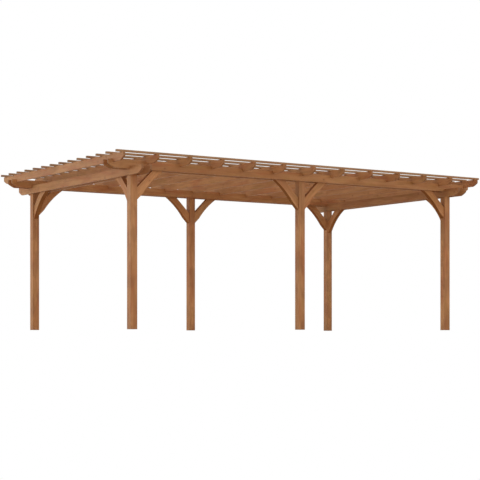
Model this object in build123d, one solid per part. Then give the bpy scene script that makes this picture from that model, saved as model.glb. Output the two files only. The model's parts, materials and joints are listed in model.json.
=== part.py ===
from build123d import *

import os

# A free-standing wooden pergola: six square posts in two rows, doubled beams
# fixed to the posts' faces, rafters notched over the long beams, slats across
# the rafters, and curved knee braces at every post.
# X runs along the long side, Y across it, and Z is up. The origin is on the
# ground, in the middle of the plan. All sizes are millimetres.

# Posts
POST_SIZE = 118.0
POST_SPACING = 3185.0  # centre to centre along a row
POSTS_IN_ROW = 3
ROW_SPACING = 3483.0  # centre to centre, front row to back row

# Boards of the roof
BOARD_THICKNESS = 32.0
BEAM_DEPTH = 133.0
RAFTER_THICKNESS = 32.0
RAFTER_DEPTH = 123.0
SLAT_WIDTH = 45.0
SLAT_THICKNESS = 32.0

# Heights
HEADROOM = 2370.0  # ground to the underside of the end beams
BEAM_LAP = 41.0  # how far the side beams drop over the end beams
RAFTER_LAP = 44.0  # how far the rafters drop over the side beams

# How far each piece reaches past the post centres
END_BEAM_OVERHANG = 455.0
SIDE_BEAM_OVERHANG = 466.0
RAFTER_OVERHANG = 430.0
SLAT_OVERHANG = 471.0

# Spacing of the rafters and slats
RAFTER_COUNT = 13
OUTER_RAFTER_OFFSET = 372.0  # outermost rafter's centre, past the end posts
SLAT_COUNT = 14
OUTER_SLAT_OFFSET = 350.0  # outermost slat's centre, past the row

# Shaped board ends: a plumb nose above, then a bulging curve back to the underside
TAIL_LENGTH = 115.0
NOSE_SHARE = 0.54  # share of the depth that stays plumb
TAIL_BULGE = 5.0

# Knee braces: each has a plumb cut on its post and a level cut up in its beam
BRACE_THICKNESS = 78.0
BRACE_TUCK = 21.0  # how far a head reaches up between its beam's boards
ROW_BRACE_REACH = 505.0  # along the side beam
ROW_BRACE_DROP = 493.0  # from the head down the post
ROW_BRACE_SEAT = 193.0  # length of the plumb cut
ROW_BRACE_LAND = 105.0  # straight start of the lower edge, measured along the beam
ROW_BRACE_ARCH = 28.0  # rise of the hollow curve that follows
END_BRACE_REACH = 490.0  # along the end beam
END_BRACE_DROP = 456.0
END_BRACE_SEAT = 215.0
END_BRACE_LAND = 20.0
END_BRACE_ARCH = 50.0

# Play left on each side of a board in a notch
NOTCH_CLEARANCE = 0.5

# Levels and lines worked out from the sizes above
END_BEAM_TOP = HEADROOM + BEAM_DEPTH
SIDE_BEAM_BOTTOM = END_BEAM_TOP - BEAM_LAP
SIDE_BEAM_TOP = SIDE_BEAM_BOTTOM + BEAM_DEPTH
RAFTER_BOTTOM = SIDE_BEAM_TOP - RAFTER_LAP
RAFTER_TOP = RAFTER_BOTTOM + RAFTER_DEPTH
POST_TOP = RAFTER_BOTTOM
ROW_BRACE_HEAD = SIDE_BEAM_BOTTOM + BRACE_TUCK
END_BRACE_HEAD = HEADROOM + BRACE_TUCK
HALF_LENGTH = POST_SPACING * (POSTS_IN_ROW - 1) / 2
HALF_WIDTH = ROW_SPACING / 2
BOARD_OFFSET = (POST_SIZE + BOARD_THICKNESS) / 2  # post centre to board centre


def spread(count, half_span):
    """Places of evenly spaced pieces from -half_span to +half_span."""
    step = 2 * half_span / (count - 1)
    return [-half_span + step * index for index in range(count)]


POST_LINES = spread(POSTS_IN_ROW, HALF_LENGTH)
RAFTER_LINES = spread(RAFTER_COUNT, HALF_LENGTH + OUTER_RAFTER_OFFSET)
SLAT_LINES = spread(SLAT_COUNT, HALF_WIDTH + OUTER_SLAT_OFFSET)
END_BOARD_LINES = [end + side for end in (-HALF_LENGTH, HALF_LENGTH)
                   for side in (-BOARD_OFFSET, BOARD_OFFSET)]
SIDE_BOARD_LINES = [row + side for row in (-HALF_WIDTH, HALF_WIDTH)
                    for side in (-BOARD_OFFSET, BOARD_OFFSET)]


def save(name, pieces):
    """Write the solids of one named piece to its own file."""
    shape = pieces[0] if len(pieces) == 1 else Compound(children=pieces)
    export_step(shape, os.path.join("parts", name + ".step"))


def board_outline(half_length, depth, notch_lines, notch_width, notch_height):
    """Side view of a board with shaped ends and notches in its underside.

    The board runs along the sketch's X, with its underside on Y = 0.
    """
    nose = depth * NOSE_SHARE
    foot = half_length - TAIL_LENGTH
    with BuildSketch() as sketch:
        with BuildLine():
            left = SagittaArc((-foot, 0), (-half_length, depth - nose), TAIL_BULGE)
            right = SagittaArc((half_length, depth - nose), (foot, 0), TAIL_BULGE)
            Polyline(left @ 1, (-half_length, depth), (half_length, depth), right @ 0)
            Line(right @ 1, left @ 0)
        make_face()
        if notch_lines:
            with Locations(*[(line, 0) for line in notch_lines]):
                Rectangle(notch_width, 2 * notch_height, mode=Mode.SUBTRACT)
    return sketch.sketch


def board_along_x(outline, y_centre, thickness, bottom):
    """Stand a board's outline up along X, centred on y_centre."""
    face = Plane.XZ.offset(-(y_centre + thickness / 2)) * outline
    return extrude(face, thickness).moved(Location((0, 0, bottom)))


def board_along_y(outline, x_centre, thickness, bottom):
    """Stand a board's outline up along Y, centred on x_centre."""
    face = Plane.YZ.offset(x_centre - thickness / 2) * outline
    return extrude(face, thickness).moved(Location((0, 0, bottom)))


def make_post(x_centre, y_centre):
    """A square post from the ground to the underside of the rafters."""
    post = extrude(Rectangle(POST_SIZE, POST_SIZE), POST_TOP)
    return post.moved(Location((x_centre, y_centre, 0)))


def make_end_beams():
    """The lower pair of boards on each end's posts, running across the pergola."""
    outline = board_outline(HALF_WIDTH + END_BEAM_OVERHANG, BEAM_DEPTH, [], 0, 0)
    return [board_along_y(outline, line, BOARD_THICKNESS, HEADROOM)
            for line in END_BOARD_LINES]


def make_side_beams():
    """The pair of long boards on each row's posts, notched over the end beams."""
    slot = BOARD_THICKNESS + 2 * NOTCH_CLEARANCE
    outline = board_outline(HALF_LENGTH + SIDE_BEAM_OVERHANG, BEAM_DEPTH,
                            END_BOARD_LINES, slot, BEAM_LAP)
    return [board_along_x(outline, line, BOARD_THICKNESS, SIDE_BEAM_BOTTOM)
            for line in SIDE_BOARD_LINES]


def make_rafters():
    """The rafters, notched over the four boards of the side beams."""
    slot = BOARD_THICKNESS + 2 * NOTCH_CLEARANCE
    outline = board_outline(HALF_WIDTH + RAFTER_OVERHANG, RAFTER_DEPTH,
                            SIDE_BOARD_LINES, slot, RAFTER_LAP)
    return [board_along_y(outline, line, RAFTER_THICKNESS, RAFTER_BOTTOM)
            for line in RAFTER_LINES]


def make_slats():
    """The slats that lie across the rafters, square at both ends."""
    length = 2 * (HALF_LENGTH + SLAT_OVERHANG)
    slat = extrude(Rectangle(length, SLAT_WIDTH), SLAT_THICKNESS)
    return [slat.moved(Location((0, line, RAFTER_TOP))) for line in SLAT_LINES]


def make_brace(reach, drop, seat, land, arch, head):
    """One knee brace beside a post centred on the origin, reaching towards +X.

    It has a plumb cut against the post, a level cut hidden between the beam's
    boards at the height head, and a straight upper edge. Its lower edge leaves
    the post straight, at 45 degrees, and then follows a hollow curve.
    """
    with BuildSketch(Plane.XZ) as sketch:
        with BuildLine():
            hollow = SagittaArc((land, land), (reach, drop), arch)
            Polyline(hollow @ 1, (drop - seat, drop), (0, seat), (0, 0), hollow @ 0)
        make_face()
    brace = extrude(sketch.sketch, BRACE_THICKNESS / 2, both=True)
    return brace.moved(Location((POST_SIZE / 2, 0, head - drop)))


def place_brace(brace, x_centre, y_centre, heading):
    """Turn a brace to its heading in degrees and stand it at a post."""
    return brace.rotate(Axis.Z, heading).moved(Location((x_centre, y_centre, 0)))


def row_braces(y_centre):
    """Braces along a row: one on each side that faces another post of the row."""
    brace = make_brace(ROW_BRACE_REACH, ROW_BRACE_DROP, ROW_BRACE_SEAT,
                       ROW_BRACE_LAND, ROW_BRACE_ARCH, ROW_BRACE_HEAD)
    pieces = []
    for x_centre in POST_LINES:
        if x_centre < POST_LINES[-1]:
            pieces.append(place_brace(brace, x_centre, y_centre, 0))
        if x_centre > POST_LINES[0]:
            pieces.append(place_brace(brace, x_centre, y_centre, 180))
    return pieces


def end_braces(x_centre):
    """Braces across one end, each leaning from its post towards the other row."""
    brace = make_brace(END_BRACE_REACH, END_BRACE_DROP, END_BRACE_SEAT,
                       END_BRACE_LAND, END_BRACE_ARCH, END_BRACE_HEAD)
    front = place_brace(brace, x_centre, -HALF_WIDTH, 90)
    back = place_brace(brace, x_centre, HALF_WIDTH, 270)
    return [front, back]


def main():
    os.makedirs("parts", exist_ok=True)
    for row, y_centre in (("front", -HALF_WIDTH), ("back", HALF_WIDTH)):
        for place, x_centre in zip(("left", "middle", "right"), POST_LINES):
            save(f"{row}_{place}_post", [make_post(x_centre, y_centre)])
    end_names = ["left_end_beam_outer", "left_end_beam_inner",
                 "right_end_beam_inner", "right_end_beam_outer"]
    for name, beam in zip(end_names, make_end_beams()):
        save(name, [beam])
    side_names = ["front_beam_outer", "front_beam_inner",
                  "back_beam_inner", "back_beam_outer"]
    for name, beam in zip(side_names, make_side_beams()):
        save(name, [beam])
    for number, rafter in enumerate(make_rafters(), start=1):
        save(f"rafter_{number:02d}", [rafter])
    for number, slat in enumerate(make_slats(), start=1):
        save(f"slat_{number:02d}", [slat])
    save("front_row_braces", row_braces(-HALF_WIDTH))
    save("back_row_braces", row_braces(HALF_WIDTH))
    save("left_end_braces", end_braces(-HALF_LENGTH))
    save("right_end_braces", end_braces(HALF_LENGTH))


main()
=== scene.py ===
import json
import math

import bmesh
import bpy
import numpy as np
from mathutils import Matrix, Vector


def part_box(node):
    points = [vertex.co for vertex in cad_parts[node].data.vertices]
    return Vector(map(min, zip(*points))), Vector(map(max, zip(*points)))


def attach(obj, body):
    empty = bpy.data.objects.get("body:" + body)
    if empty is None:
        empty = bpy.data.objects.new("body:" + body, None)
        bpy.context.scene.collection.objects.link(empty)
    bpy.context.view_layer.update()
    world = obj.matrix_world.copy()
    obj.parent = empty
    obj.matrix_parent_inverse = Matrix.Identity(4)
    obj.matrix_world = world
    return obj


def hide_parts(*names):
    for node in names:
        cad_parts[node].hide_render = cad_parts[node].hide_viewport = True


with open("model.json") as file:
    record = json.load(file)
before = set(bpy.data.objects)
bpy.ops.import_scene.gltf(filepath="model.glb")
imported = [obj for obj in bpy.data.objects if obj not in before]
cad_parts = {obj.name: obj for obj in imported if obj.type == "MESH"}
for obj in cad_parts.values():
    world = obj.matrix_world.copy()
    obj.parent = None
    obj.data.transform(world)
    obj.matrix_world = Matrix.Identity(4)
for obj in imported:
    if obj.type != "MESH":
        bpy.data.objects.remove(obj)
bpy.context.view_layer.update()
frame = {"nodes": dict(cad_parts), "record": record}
slot_of = {part["node"]: part["material_slot"] for part in frame["record"]["subparts"]}

# Timber, in metres
WELD_DISTANCE = 1e-5  # joins the loose triangles of a CAD copy
FLAT_ANGLE = math.radians(1.0)
SHARP_ANGLE = math.radians(30.0)
CREASE_ANGLE = math.radians(36.0)  # edges turned more than this stay crisp on the timber
EASED_EDGES = {  # radius of the rounded edges on each kind of piece
    "posts": 0.003,
    "beams": 0.003,
    "rafters": 0.003,
    "slats": 0.001,
    "braces": 0.003,
}
EASED_STEPS = 2
TAIL_ZONE = 0.12  # a board's shaped tail lies within this distance of its end
PITH_OFFSETS = {  # nearest and farthest distance from a piece's middle to the heart of its tree
    "posts": (0.015, 0.045),
    "beams": (0.05, 0.13),
    "rafters": (0.05, 0.13),
    "slats": (0.04, 0.12),
    "braces": (0.03, 0.09),
}
LOG_TAPER = 0.008  # how far a board runs out of line with its tree, per metre
LOG_STRETCH = 60.0  # every piece is cut from its own part of a log this long
SECOND_SIDE = 0.5  # a solid leans if its second side is over this share of its longest
SQUARE_GRAIN = 0.9  # and its grain then has no part as large as this along one axis
ALONG_GRAIN = 0.99  # cosine to the grain above which an edge runs with it

# What cut a face, told by the cosines of its turn from its board's grain and thickness
SIDE_GRAIN = 0.25  # to the grain: end grain begins to show above this
FULL_END_GRAIN = 0.85
BROAD_FACE = 0.97  # to the thickness: a broad face is above this
EDGE_FACE = 0.1  # and an edge face below this, so that an eased edge lies between
SAWN_FACE = 0.5  # all faces of a brace below this were band-sawn
TAIL_FACE = (0.2, 0.8)  # to the grain: an edge face between these belongs to a shaped tail
TAIL_FUR_AND_SHADE = 0.4  # how much of a brace's furred surface, and of its painted shade, a tail has

# Grain and stain
WOODS = {  # width of a year's ring, spacing of the knots, lightness, blotching and weathering
    "posts": (0.0042, 0.26, 1.09, 0.36, 0.0),
    "beams": (0.0050, 0.18, 1.07, 0.12, 0.0),
    "rafters": (0.0046, 0.15, 1.03, 0.12, 0.0),
    "slats": (0.0040, 0.14, 0.95, 0.12, 0.3),
    "braces": (0.0048, 0.20, 1.10, 0.12, 0.0),
}
RING_WANDER = 0.024  # how far a year's ring strays from round, in metres
KNOT_PUSH = 0.011  # how far a knot pushes the rings out, in metres
KNOT_DECAY = -1300.0  # how soon that push dies away, per square metre
KNOT_RADIUS = 0.004  # of the smallest knot
KNOT_SPREAD = 0.010  # by which the largest knot is bigger
BOARD_SPREAD = 0.22  # between the lightness of the darkest board and the lightest
HUE_SPREAD = 0.10  # between the warmth of the coolest board and the warmest
SHEEN_SPREAD = 0.06  # between the roughness of the smoothest board and the roughest

# Screws
HEAD_RADIUS = 0.007
HEAD_RISE = 0.0012
HEAD_SEGMENTS = 12
RECESS_RADIUS = 0.003
RECESS_LOBE = 0.0005
RECESS_DEPTH = 0.001
NEARLY_UPRIGHT = 0.9  # upward part above which a screw counts as pointing up
EDGE_DISTANCE = 0.028  # from a screw's middle to the edge of the board it holds
BOARD_LIMIT = 0.1  # a beam is thinner than this across its board
HEAD_SCREW_REACH = 0.86  # share of a brace's reach at which its head is screwed
HEAD_SCREW_DROP = 0.4 * EDGE_DISTANCE  # below the top of the brace
HEAD_SCREW_STAGGER = 0.002  # one side's screw is higher by this, the other's lower
TOE_SCREW_HEIGHT = 0.22  # share of a brace's height at which its foot is screwed
TOE_SCREW_STAGGER = 0.06

# Viewpoint, floor and lights
CAMERA_PLACE = (-14.070, -21.296, -0.105)
CAMERA_HEADING = math.radians(33.364)  # from +Y towards +X
CAMERA_LENS = 108.57
CAMERA_SHIFT = 0.2001
CAMERA_REACH = 500.0
FLOOR_RADIUS = 60.0
FLOOR_POINTS = 96
FLOOR_FADE = 8.0  # distance from the middle at which the floor begins to fade into the backdrop
FLOOR_DROP = 0.0005
DOME_STRENGTH = 0.97
LAMPS = {  # place, power, width and colour of each soft lamp
    "side_lamp": ((-14.0, 5.0, 2.5), 370.0, 6.0, (0.82, 0.99, 1.04)),
    "front_lamp": ((6.0, -30.0, 4.5), 680.0, 4.5, (1.0, 1.0, 1.0)),
}
LAMP_TARGET = Vector((-1.0, 0.0, 1.8))

random = np.random.default_rng(24)


def display(red, green, blue):
    """A colour from its screen values, 0 to 255, as the linear colour that a shader takes."""
    levels = np.array((red, green, blue)) / 255
    linear = np.where(levels <= 0.04045, levels / 12.92, ((levels + 0.055) / 1.055) ** 2.4)
    return (*linear, 1.0)


CINNAMON = display(172, 114, 63)
SANDY = display(190, 134, 83)
RUSSET = display(170, 96, 49)
OLIVE = display(158, 114, 52)
UMBER = display(118, 69, 31)
# painted shade: the deep brown given to band-sawn faces, as on a brace's top under the roof and
# under a rafter tail
PAINTED_SHADE_BROWN = display(102, 52, 18)
SUN_GREY = display(118, 111, 89)
LATEWOOD = display(130, 74, 33)
KNOT = display(80, 42, 20)
END_BROWN = display(116, 84, 60)
COATING = display(126, 84, 52)
PALE_FLOOR = display(250, 250, 250)
DULL_GROUND = display(180, 165, 144)  # colours the light that the floor throws back up


# ---------------------------------------------------------------- shader maths


class Socket:
    """One output of a node. Arithmetic on it adds Math nodes to its tree."""

    def __init__(self, shader, output):
        self.shader = shader
        self.output = output

    def math(self, operation, other=None):
        """A Math node on this output alone, or on it and another value."""
        sides = {0: self} if other is None else {0: self, 1: other}
        return self.shader.add("ShaderNodeMath", {"operation": operation}, sides)

    def __add__(self, other):
        return self.math("ADD", other)

    def __sub__(self, other):
        return self.math("SUBTRACT", other)

    def __rsub__(self, other):
        return self.shader.add("ShaderNodeMath", {"operation": "SUBTRACT"}, {0: other, 1: self})

    def __mul__(self, other):
        return self.math("MULTIPLY", other)

    def __truediv__(self, other):
        return self.math("DIVIDE", other)

    __radd__ = __add__
    __rmul__ = __mul__

    def rise(self, low, high):
        """0 below low, 1 above high, and a smooth step between."""
        return self.shader.add("ShaderNodeMapRange", {"interpolation_type": "SMOOTHSTEP"},
                               {"Value": self, "From Min": low, "From Max": high})

    def stretched(self, *scales):
        """A vector with each of its parts scaled."""
        return self.shader.add("ShaderNodeVectorMath", {"operation": "MULTIPLY"},
                               {0: self, 1: scales})

    def part(self, axis):
        """One number of a vector: X, Y or Z."""
        return self.shader.add("ShaderNodeSeparateXYZ", {}, {0: self}, output=axis)

    def length(self):
        """A vector's length."""
        return self.shader.add("ShaderNodeVectorMath", {"operation": "LENGTH"}, {0: self},
                               output="Value")


class Shader:
    """The node tree of a material or world, in which add() makes every node."""

    def __init__(self, owner):
        owner.use_nodes = True
        self.tree = owner.node_tree
        self.tree.nodes.clear()

    def add(self, kind, settings, inputs, output=0):
        """Make a node: its settings first, then the value or link of each socket."""
        node = self.tree.nodes.new(kind)
        for key, value in settings.items():
            if key == "stops":
                set_stops(node.color_ramp, value)
            else:
                setattr(node, key, value)
        for key, value in inputs.items():
            if isinstance(value, Socket):
                self.tree.links.new(value.output, node.inputs[key])
            else:
                node.inputs[key].default_value = value
        return Socket(self, node.outputs[output]) if node.outputs else node

    def attribute(self, name, output):
        """What the mesh stores under a name, as a Vector or a Fac."""
        return self.add("ShaderNodeAttribute", {"attribute_name": name}, {}, output)

    def noise(self, place, detail=2.0, roughness=0.5):
        """Soft random values about one half, one lump to a unit of place."""
        return self.add("ShaderNodeTexNoise", {},
                        {"Vector": place, "Scale": 1.0, "Detail": detail, "Roughness": roughness},
                        output="Fac")

    def mix(self, share, first, second):
        """The colour first, turned by share towards second."""
        return self.add("ShaderNodeMix", {"data_type": "RGBA"},
                        {0: share, 6: first, 7: second}, output=2)

    def scaled(self, colour, amount):
        """A colour made lighter or darker by a number."""
        return self.add("ShaderNodeVectorMath", {"operation": "SCALE"},
                        {0: colour, "Scale": amount})


def set_stops(ramp, stops):
    """Give a colour ramp its stops: place and grey level of each."""
    while len(ramp.elements) < len(stops):
        ramp.elements.new(0.5)
    for element, (place, level) in zip(ramp.elements, stops):
        element.position = place
        element.color = (level, level, level, 1.0)


# ---------------------------------------------------------------- finishes


def stained_wood(slot, ring_width, knot_spacing, lightness, blotching, weathering):
    """Softwood sawn out of a log and stained cinnamon brown.

    The log attribute says where a point lay in its tree: along the trunk, and to two
    sides of the heart. A year's ring is the distance from the heart over the ring
    width. It wanders slowly along the trunk and swells round each knot. The board
    attribute holds a board's own lightness, warmth and roughness, each from 0 to 1.
    Blotching is how unevenly the stain soaked in, and weathering how grey it has gone.
    """
    material = bpy.data.materials.new(slot + "_stained_wood")
    shader = Shader(material)
    log = shader.attribute("log", "Vector")
    board = shader.attribute("board", "Vector")
    end_grain = shader.attribute("end_grain", "Fac")
    eased = shader.attribute("eased", "Fac")
    band_sawn = shader.attribute("band_sawn", "Fac")

    knots = {"Vector": log, "Scale": 1.0 / knot_spacing}
    knot_distance = shader.add("ShaderNodeTexVoronoi", {}, knots, "Distance") * knot_spacing
    knot_chance = shader.add("ShaderNodeTexVoronoi", {}, knots, "Color").part(0)
    knot_size = knot_chance * KNOT_SPREAD + KNOT_RADIUS
    knot = 1 - knot_distance.rise(knot_size * 0.6, knot_size)
    swell = (knot_distance * knot_distance * KNOT_DECAY).math("EXPONENT")

    wander = shader.noise(log.stretched(1.2, 5.0, 5.0))
    radius = log.stretched(0.0, 1.0, 1.0).length() + wander * RING_WANDER + swell * KNOT_PUSH
    year = radius / ring_width
    strength = shader.add("ShaderNodeTexWhiteNoise", {"noise_dimensions": "1D"},
                          {"W": year.math("FLOOR")}, "Value")
    ring = shader.add("ShaderNodeValToRGB",
                      {"stops": ((0.0, 0.0), (0.45, 0.08), (0.84, 0.8), (0.94, 1.0), (1.0, 0.0))},
                      {0: year.math("FRACT")}).part(0)
    late = ring * (strength * 0.6 + 0.4)

    fibre = shader.noise(log.stretched(9.0, 850.0, 850.0), roughness=0.6)
    streak = shader.noise(log.stretched(2.2, 75.0, 75.0), detail=3.0, roughness=0.6)
    patch = shader.noise(log.stretched(1.3, 8.0, 8.0))
    warmth = shader.noise(log.stretched(1.9, 11.0, 11.0)) + (board.part(1) - 0.5) * HUE_SPREAD
    blotch = shader.noise(log.stretched(3.0, 6.0, 6.0))

    colour = shader.mix(patch.rise(0.34, 0.66), CINNAMON, SANDY)
    colour = shader.mix(warmth.rise(0.50, 0.72) * 0.6, colour, RUSSET)
    colour = shader.mix((1 - warmth).rise(0.52, 0.74) * 0.5, colour, OLIVE)
    colour = shader.mix(streak.rise(0.42, 0.8) * 0.4, colour, UMBER)
    colour = shader.mix(blotch.rise(0.42, 0.62) * blotching, colour, UMBER)
    colour = shader.mix(late * 0.42, colour, LATEWOOD)
    colour = shader.mix(fibre.rise(0.4, 0.85) * 0.25, colour, UMBER)
    colour = shader.mix(swell * 0.35, colour, LATEWOOD)
    colour = shader.mix(knot * 0.6, colour, KNOT)
    colour = shader.mix(end_grain * 0.55, colour, END_BROWN)
    colour = shader.mix(eased * 0.25, colour, UMBER)
    # painted shade: band-sawn faces darkened, standing in for the shade on a brace's top under the
    # roof and under each rafter tail
    colour = shader.mix(band_sawn * 0.5, colour, PAINTED_SHADE_BROWN)
    colour = shader.mix((patch * 0.8 + 0.6) * weathering, colour, SUN_GREY)
    own_lightness = board.part(0) * BOARD_SPREAD + (1 - BOARD_SPREAD / 2)
    colour = shader.scaled(colour, own_lightness * lightness)

    roughness = 0.49 + board.part(2) * SHEEN_SPREAD
    roughness = roughness + streak * 0.16 + late * 0.08 + end_grain * 0.14
    relief = fibre * 0.5 + (1 - late) * 0.35 + knot * 0.3
    bump = shader.add("ShaderNodeBump", {},
                      {"Height": relief, "Strength": 0.6, "Distance": 0.0006}, "Normal")
    skin = shader.add("ShaderNodeBsdfPrincipled", {},
                      {"Base Color": colour, "Roughness": roughness, "Normal": bump,
                       "IOR": 1.46, "Sheen Weight": 0.08})
    furred = shader.add("ShaderNodeBsdfPrincipled", {},
                        {"Base Color": colour, "Roughness": 0.9, "Normal": bump,
                         "Specular IOR Level": 0.05})
    surface = shader.add("ShaderNodeMixShader", {}, {0: band_sawn * 0.9, 1: skin, 2: furred})
    shader.add("ShaderNodeOutputMaterial", {}, {"Surface": surface})
    return material


def coated_screw():
    """Steel with a coating near the wood's own colour, a little rubbed."""
    material = bpy.data.materials.new("coated_screw")
    shader = Shader(material)
    place = shader.add("ShaderNodeTexCoord", {}, {}, "Object")
    rubbed = shader.noise(place.stretched(400.0, 400.0, 400.0))
    colour = shader.mix(rubbed.rise(0.45, 0.7) * 0.5, COATING, CINNAMON)
    skin = shader.add("ShaderNodeBsdfPrincipled", {},
                      {"Base Color": colour, "Roughness": rubbed * 0.2 + 0.35, "Metallic": 0.15})
    shader.add("ShaderNodeOutputMaterial", {}, {"Surface": skin})
    return material


# ---------------------------------------------------------------- timber


def solids_of(count, edges):
    """Number of the solid each vertex belongs to: labels spread along edges until they settle."""
    label = np.arange(count)
    while True:
        low = np.minimum(label[edges[:, 0]], label[edges[:, 1]])
        spread = label.copy()
        np.minimum.at(spread, edges[:, 0], low)
        np.minimum.at(spread, edges[:, 1], low)
        if np.array_equal(spread, label):
            return np.unique(label, return_inverse=True)[1]
        label = spread


def grain_axes(points):
    """Unit vectors along the grain, across the thickness and up the depth of one solid.

    The grain follows the longest side of the solid's box. On a leaning solid, whose two
    longest sides are much alike, it follows their diagonal.
    """
    span = np.ptp(points, axis=0)
    thin, deep, long = np.argsort(span)
    along = np.eye(3)[long]
    if span[deep] > SECOND_SIDE * span[long]:
        lean = np.sign(np.corrcoef(points[:, long], points[:, deep])[0, 1])
        along = (along + lean * np.eye(3)[deep]) / math.sqrt(2)
    across = np.eye(3)[thin]
    return np.array((along, across, np.cross(along, across)))


def leans(axes):
    """Whether a solid's grain runs on a slant, as a brace's does."""
    return np.abs(axes[0]).max() < SQUARE_GRAIN


def ends_and_edges(points, axes):
    """Which points lie near an end of their solid, and which on the faces that bound its depth.

    All of a brace counts as near an end. The edges of a notch stand clear of a board's
    ends, and those that run along the board lie up inside it.
    """
    place = points @ axes.T
    low, high = place.min(axis=0), place.max(axis=0)
    from_end, _, from_edge = np.minimum(place - low, high - place).T
    near_end = (from_end < TAIL_ZONE) | leans(axes)
    return near_end, from_edge < WELD_DISTANCE


def eased_edges(edit):
    """The edges of a node that are rounded over: all sharp ones but those of its notches."""
    edit.verts.ensure_lookup_table()
    points = np.array([vertex.co for vertex in edit.verts])
    pairs = np.array([[vertex.index for vertex in edge.verts] for edge in edit.edges])
    run = points[pairs[:, 1]] - points[pairs[:, 0]]
    label = solids_of(len(points), pairs)
    sharp = np.array([edge.is_convex and edge.calc_face_angle(0.0) > SHARP_ANGLE
                      for edge in edit.edges])
    chosen = np.zeros(len(pairs), bool)
    for solid in range(label.max() + 1):
        mine = label == solid
        axes = grain_axes(points[mine])
        near_end, on_edge = ends_and_edges(points, axes)
        lengthwise = np.abs(run @ axes[0]) > ALONG_GRAIN * np.linalg.norm(run, axis=1)
        at_end = near_end[pairs].all(axis=1)
        planed = lengthwise & on_edge[pairs].all(axis=1)
        chosen |= mine[pairs[:, 0]] & (at_end | planed)
    return [edge for edge, wanted in zip(edit.edges, sharp & chosen) if wanted]


def eased_copy(node):
    """A mesh of the CAD node's solids, merged, with their edges rounded over."""
    edit = bmesh.new()
    edit.from_mesh(frame["nodes"][node].data)
    bmesh.ops.remove_doubles(edit, verts=edit.verts, dist=WELD_DISTANCE)
    bmesh.ops.dissolve_limit(edit, angle_limit=FLAT_ANGLE, verts=edit.verts, edges=edit.edges)
    edit.verts.index_update()
    bmesh.ops.bevel(edit, geom=eased_edges(edit), offset=EASED_EDGES[slot_of[node]],
                    segments=EASED_STEPS, profile=0.5, affect="EDGES", clamp_overlap=True)
    mesh = bpy.data.meshes.new(node + "_timber")
    edit.to_mesh(mesh)
    edit.free()
    return mesh


def read(collection, field, width, kind=float):
    """One field of a mesh's vertices, edges, faces or corners as an array."""
    values = np.empty(len(collection) * width, kind)
    collection.foreach_get(field, values)
    return values.reshape(-1, width) if width > 1 else values


def store(mesh, name, domain, values):
    """Write numbers or vectors into a new attribute of a mesh."""
    kind, field = ("FLOAT_VECTOR", "vector") if values.ndim == 2 else ("FLOAT", "value")
    mesh.attributes.new(name, kind, domain).data.foreach_set(field, values.ravel())


def saw_from_logs(mesh, slot):
    """Lay every solid of a mesh into its own log, and mark the faces that take stain otherwise.

    The log attribute holds the distance along the trunk and the two distances from the
    heart: the point's place along, across and up the board, moved by the board's own
    offset from the heart and tipped by a slight run-out per metre. The board attribute
    holds three chance numbers that a whole board shares. The others mark end grain,
    eased edges, and what the band saw left: a board's shaped tails and all edge faces
    of a brace, which are given a duller finish and a painted shade.
    """
    points = read(mesh.vertices, "co", 3)
    label = solids_of(len(points), read(mesh.edges, "vertices", 2, int))
    first_corner = read(mesh.polygons, "loop_start", 1, int)
    face_label = label[read(mesh.loops, "vertex_index", 1, int)[first_corner]]
    normals = read(mesh.polygons, "normal", 3)
    log, board = np.empty_like(points), np.empty_like(points)
    end_grain, eased, band_sawn = (np.zeros(len(normals)) for _ in range(3))
    for solid in range(label.max() + 1):
        mine, faces = label == solid, face_label == solid
        axes = grain_axes(points[mine])
        middle = (points[mine].min(axis=0) + points[mine].max(axis=0)) / 2
        place = (points[mine] - middle) @ axes.T
        heart = random.uniform(*PITH_OFFSETS[slot])
        angle = random.uniform(0, 2 * math.pi)
        tip = random.uniform(-LOG_TAPER, LOG_TAPER, 2)
        place[:, 1] += heart * math.cos(angle) + tip[0] * place[:, 0]
        place[:, 2] += heart * math.sin(angle) + tip[1] * place[:, 0]
        place[:, 0] += random.uniform(0, LOG_STRETCH)
        log[mine] = place
        board[mine] = random.uniform(0, 1, 3)
        to_grain, to_thickness, _ = np.abs(normals[faces] @ axes.T).T
        end_grain[faces] = np.clip((to_grain - SIDE_GRAIN) / (FULL_END_GRAIN - SIDE_GRAIN), 0, 1)
        eased[faces] = (to_thickness > EDGE_FACE) & (to_thickness < BROAD_FACE)
        slanting = (to_grain > TAIL_FACE[0]) & (to_grain < TAIL_FACE[1])
        tail = slanting & (to_thickness < EDGE_FACE)
        # band-sawn faces get a duller finish and painted shade; a shaped tail takes part of both
        band_sawn[faces] = (to_thickness < SAWN_FACE) if leans(axes) else TAIL_FUR_AND_SHADE * tail
    store(mesh, "log", "POINT", log)
    store(mesh, "board", "POINT", board)
    store(mesh, "end_grain", "FACE", end_grain)
    store(mesh, "eased", "FACE", eased)
    store(mesh, "band_sawn", "FACE", band_sawn)


def add_piece(name, mesh, material):
    """Show a mesh as a piece of the object, riding on its only body."""
    mesh.materials.clear()
    mesh.materials.append(material)
    piece = bpy.data.objects.new(name, mesh)
    bpy.context.scene.collection.objects.link(piece)
    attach(piece, "root")
    return piece


def make_timber(woods):
    """Replace every CAD node by an eased, sawn and stained copy of itself; give the copies."""
    copies = {}
    for node in sorted(frame["nodes"]):
        slot = slot_of[node]
        mesh = eased_copy(node)
        saw_from_logs(mesh, slot)
        mesh.shade_smooth()
        mesh.set_sharp_from_angle(angle=CREASE_ANGLE)
        piece = add_piece(node + "_timber", mesh, woods[slot])
        weighted = piece.modifiers.new("flat faces stay flat", "WEIGHTED_NORMAL")
        weighted.keep_sharp = True
        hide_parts(node)
        copies[node] = mesh
    return copies


# ---------------------------------------------------------------- screws


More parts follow.
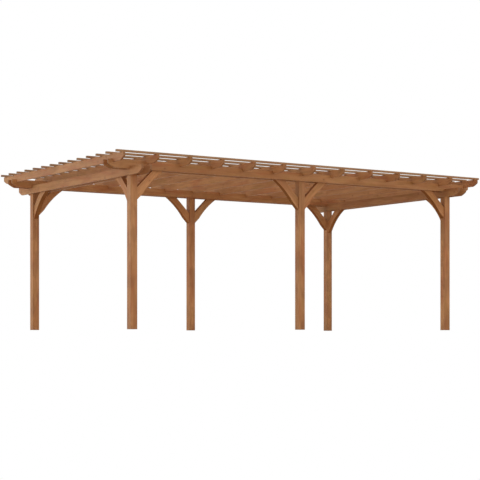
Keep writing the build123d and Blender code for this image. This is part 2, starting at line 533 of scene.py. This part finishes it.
def screw_head():
    """Vertices and faces of one flat-domed head, pointing up, with a six-lobed recess.

    Rings of points go out from the middle: the recess floor, the top of its wall, the
    dome, the rim, and the rim's foot, which is sunk in the wood. A recess ring's radius
    swings by one lobe six times a turn.
    """
    turn = np.arange(HEAD_SEGMENTS) * 2 * math.pi / HEAD_SEGMENTS
    lobed = RECESS_RADIUS + RECESS_LOBE * np.cos(6 * turn)
    full = np.full(HEAD_SEGMENTS, HEAD_RADIUS)
    radii = np.array((0.7 * lobed, lobed, 0.75 * full, full, full))
    heights = np.array((-RECESS_DEPTH, 0.0, -0.15 * HEAD_RISE, -0.75 * HEAD_RISE, -1.5 * HEAD_RISE))
    heights += HEAD_RISE
    rings = np.stack((radii * np.cos(turn), radii * np.sin(turn),
                      np.repeat(heights[:, None], HEAD_SEGMENTS, axis=1)), axis=-1)
    corner = np.arange(HEAD_SEGMENTS)
    following = np.roll(corner, -1)
    quads = [np.stack((ring + corner, ring + HEAD_SEGMENTS + corner,
                       ring + HEAD_SEGMENTS + following, ring + following), axis=-1)
             for ring in range(0, HEAD_SEGMENTS * (len(radii) - 1), HEAD_SEGMENTS)]
    last = HEAD_SEGMENTS * (len(radii) - 1)
    caps = [corner.tolist(), (last + corner[::-1]).tolist()]
    return rings.reshape(-1, 3), np.concatenate(quads).tolist() + caps


def facing(directions):
    """Turning matrices that carry +Z to each of the given directions."""
    helper = np.where(np.abs(directions[:, 2:]) > NEARLY_UPRIGHT, [[1.0, 0, 0]], [[0, 0, 1.0]])
    side = np.cross(helper, directions)
    side /= np.linalg.norm(side, axis=1, keepdims=True)
    return np.stack((side, np.cross(directions, side), directions), axis=-1)


def add_screws(name, places, directions, material):
    """One joined mesh of screw heads at the given places, each facing its direction."""
    points, faces = screw_head()
    turned = np.einsum("nij,kj->nki", facing(directions), points) + places[:, None]
    steps = np.arange(len(places)) * len(points)
    every_face = [[index + step for index in face] for step in steps.tolist() for face in faces]
    mesh = bpy.data.meshes.new(name)
    mesh.from_pydata(turned.reshape(-1, 3), [], every_face)
    mesh.shade_smooth()
    mesh.set_sharp_from_angle(angle=SHARP_ANGLE)
    add_piece(name, mesh, material)


def nodes_in(slot):
    """The names of a slot's CAD nodes, in order."""
    return sorted(node for node in slot_of if slot_of[node] == slot)


def box_of(node):
    """The lowest and highest corners of a node's box, as arrays."""
    low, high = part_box(node)
    return np.array(low), np.array(high)


def middle_of(node):
    """The middle of a node's box."""
    low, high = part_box(node)
    return np.array(low + high) / 2


def spot(thin, across, along, height):
    """A point from its places across a board, whose thin axis is X or Y, along it and up."""
    place = np.empty(3)
    place[thin] = across
    place[1 - thin] = along
    place[2] = height
    return place


def slat_screws(material):
    """A screw down through every slat into every rafter."""
    slats = nodes_in("slats")
    along = np.array([middle_of(node)[0] for node in nodes_in("rafters")])
    over = np.array([middle_of(node)[1] for node in slats])
    top = box_of(slats[0])[1][2]
    x, y = np.meshgrid(along, over)
    places = np.column_stack((x.ravel(), y.ravel(), np.full(x.size, top)))
    up = np.tile((0.0, 0.0, 1.0), (len(places), 1))
    add_screws("slat_screws", places, up, material)


def beam_screws(material):
    """Two screws on a slant through each beam board into each post that it meets.

    A board meets a post when its middle is less than its own thickness off the post's face.
    """
    places, directions = [], []
    for beam in nodes_in("beams"):
        low, high = box_of(beam)
        thin = int(np.argmin(high - low))
        for post in nodes_in("posts"):
            post_low, post_high = box_of(post)
            centre = middle_of(post)
            away = middle_of(beam)[thin] - centre[thin]
            if abs(away) > (post_high - post_low)[thin] / 2 + (high - low)[thin]:
                continue
            face = high[thin] if away > 0 else low[thin]
            for side in (-1, 1):
                along = centre[1 - thin] + side * EDGE_DISTANCE
                height = (low[2] + high[2]) / 2 + side * EDGE_DISTANCE
                places.append(spot(thin, face, along, height))
                directions.append(np.eye(3)[thin] * np.sign(away))
    add_screws("beam_screws", np.array(places), np.array(directions), material)


def board_face(boxes, thin, surface, side, height):
    """Where the outer face of the nearest beam board lies, beyond a brace's side at a height."""
    low, high = boxes[:, 0], boxes[:, 1]
    across = (high - low)[:, thin] < BOARD_LIMIT
    level = (low[:, 2] < height) & (high[:, 2] > height)
    outer = high[:, thin] if side > 0 else low[:, thin]
    beyond = (outer - surface) * side
    wanted = across & level & (beyond > 0)
    return outer[np.argmin(np.where(wanted, beyond, np.inf))]


def brace_screws(material, mesh_of):
    """Two screws through the beam boards into each brace's head, and two on a slant at its foot.

    A head screw's board is the beam whose face stands nearest outside the brace's side. A
    foot screw's head sits on the brace's side, a little way from the post.
    """
    boxes = np.array([box_of(node) for node in nodes_in("beams")])
    places, directions = [], []
    for node in nodes_in("braces"):
        mesh = mesh_of[node]
        points = read(mesh.vertices, "co", 3)
        label = solids_of(len(points), read(mesh.edges, "vertices", 2, int))
        for solid in range(label.max() + 1):
            mine = points[label == solid]
            low, high = mine.min(axis=0), mine.max(axis=0)
            thin = int(np.argmin(high - low))
            long = 1 - thin
            foot = mine[np.argmin(mine[:, 2]), long]
            ahead = 1.0 if foot - low[long] < high[long] - foot else -1.0
            head_along = foot + ahead * HEAD_SCREW_REACH * (high - low)[long]
            toe_along = foot + ahead * EDGE_DISTANCE
            for side in (-1, 1):
                surface = high[thin] if side > 0 else low[thin]
                board = board_face(boxes, thin, surface, side, high[2])
                head_height = high[2] - HEAD_SCREW_DROP + side * HEAD_SCREW_STAGGER
                toe_share = TOE_SCREW_HEIGHT + side * TOE_SCREW_STAGGER
                toe_height = low[2] + toe_share * (high - low)[2]
                places.append(spot(thin, board, head_along, head_height))
                places.append(spot(thin, surface, toe_along, toe_height))
                directions += [np.eye(3)[thin] * side] * 2
    add_screws("brace_screws", np.array(places), np.array(directions), material)


# ---------------------------------------------------------------- stage, lights and camera


def seen_plainly(shader):
    """1 for a ray that shows the surroundings, also in a reflection, and 0 for one that lights."""
    kinds = ("Is Camera Ray", "Is Glossy Ray", "Is Transmission Ray")
    straight, glossy, through = (shader.add("ShaderNodeLightPath", {}, {}, kind) for kind in kinds)
    return straight.math("MAXIMUM", glossy).math("MAXIMUM", through)


def lay_floor():
    """A round pale floor that fades out towards its rim, and lets a view from below through."""
    turn = np.linspace(0, 2 * math.pi, FLOOR_POINTS, endpoint=False)
    rim = np.column_stack((FLOOR_RADIUS * np.cos(turn), FLOOR_RADIUS * np.sin(turn),
                           np.full(FLOOR_POINTS, -FLOOR_DROP)))
    mesh = bpy.data.meshes.new("floor")
    mesh.from_pydata(rim, [], [list(range(FLOOR_POINTS))])
    material = bpy.data.materials.new("pale_floor")
    shader = Shader(material)
    seen = seen_plainly(shader)
    pale = shader.add("ShaderNodeBsdfDiffuse", {}, {"Color": PALE_FLOOR})
    dull = shader.add("ShaderNodeBsdfDiffuse", {}, {"Color": DULL_GROUND})
    top = shader.add("ShaderNodeMixShader", {}, {0: seen, 1: dull, 2: pale})
    place = shader.add("ShaderNodeTexCoord", {}, {}, "Object")
    faded = place.length().rise(FLOOR_FADE, FLOOR_RADIUS) * seen
    beneath = shader.add("ShaderNodeNewGeometry", {}, {}, "Backfacing")
    clear = shader.add("ShaderNodeBsdfTransparent", {}, {})
    whole = shader.add("ShaderNodeMixShader", {},
                       {0: beneath.math("MAXIMUM", faded), 1: top, 2: clear})
    shader.add("ShaderNodeOutputMaterial", {}, {"Surface": whole})
    mesh.materials.append(material)
    floor = bpy.data.objects.new("floor", mesh)
    bpy.context.scene.collection.objects.link(floor)


def light_evenly():
    """A plain bright dome, seen as white, a wide soft lamp to the left and one far off in front."""
    world = bpy.data.worlds.new("plain_dome")
    bpy.context.scene.world = world
    shader = Shader(world)
    strength = seen_plainly(shader) * (1.0 - DOME_STRENGTH) + DOME_STRENGTH
    dome = shader.add("ShaderNodeBackground", {},
                      {"Color": (1.0, 1.0, 1.0, 1.0), "Strength": strength})
    shader.add("ShaderNodeOutputWorld", {}, {"Surface": dome})
    for name, (place, power, width, colour) in LAMPS.items():
        lamp = bpy.data.lights.new(name, "AREA")
        lamp.shape = "DISK"
        lamp.size = width
        lamp.energy = power
        lamp.color = colour
        carrier = bpy.data.objects.new(name, lamp)
        carrier.location = place
        carrier.rotation_euler = (LAMP_TARGET - Vector(place)).to_track_quat("-Z", "Y").to_euler()
        bpy.context.scene.collection.objects.link(carrier)


def set_camera():
    """A level camera far off at the front left, shifted upwards so that uprights stay upright."""
    lens = bpy.data.cameras.new("camera")
    lens.lens = CAMERA_LENS
    lens.shift_y = CAMERA_SHIFT
    lens.clip_end = CAMERA_REACH
    camera = bpy.data.objects.new("camera", lens)
    camera.location = CAMERA_PLACE
    camera.rotation_euler = (math.pi / 2, 0.0, -CAMERA_HEADING)
    bpy.context.scene.collection.objects.link(camera)
    bpy.context.scene.camera = camera


# ---------------------------------------------------------------- the whole pergola

woods = {slot: stained_wood(slot, *looks) for slot, looks in WOODS.items()}
timber = make_timber(woods)
screw_finish = coated_screw()
slat_screws(screw_finish)
beam_screws(screw_finish)
brace_screws(screw_finish, timber)
lay_floor()
light_evenly()
set_camera()
bpy.context.scene.view_settings.view_transform = "Standard"
